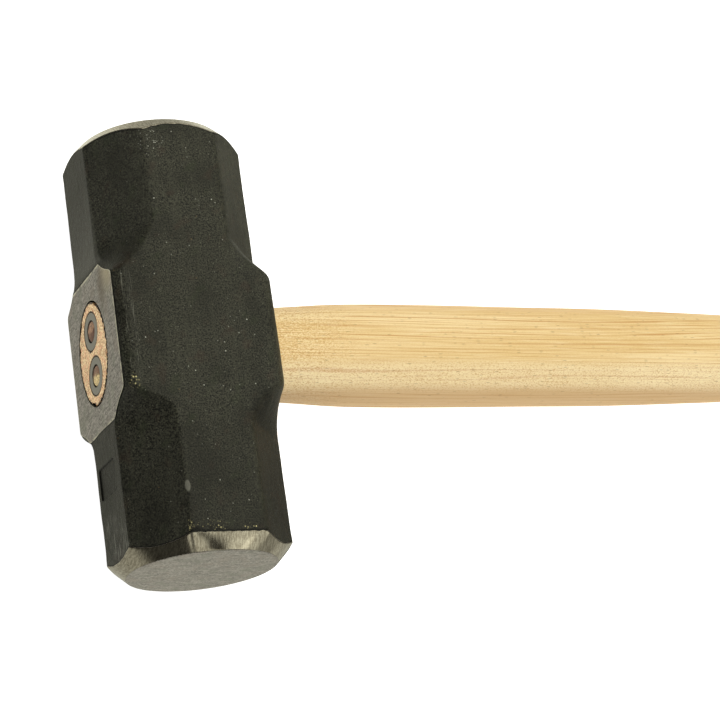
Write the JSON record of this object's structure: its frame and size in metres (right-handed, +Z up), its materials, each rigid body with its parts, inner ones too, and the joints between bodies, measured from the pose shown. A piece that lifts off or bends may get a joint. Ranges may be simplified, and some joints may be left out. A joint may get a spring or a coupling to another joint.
{
  "type": "sledgehammer",
  "caption": "Double-faced sledgehammer with an octagonal forged steel head, a long hickory haft and round ring wedges in the eye.",
  "frame": {"origin": "middle of the lower cheek's flat, under the centre of the eye; the hammer lies on that cheek", "axes": "+X along the haft towards its butt, +Y along the head from one striking face to the other, +Z up from the lower cheek to the upper one"},
  "size_m": [0.914, 0.1744, 0.064],
  "materials": {
    "forged_steel": "matt black paint on forged steel, with bare ground eye face, turned bevels and striking faces",
    "wedge_steel": "ground flush, satin",
    "hickory": "sanded hickory under a thin clear coat"
  },
  "bodies": {
    "root": {"head": "forged_steel", "haft": "hickory", "upper_ring_wedge": "wedge_steel", "lower_ring_wedge": "wedge_steel"}
  },
  "joints": []
}
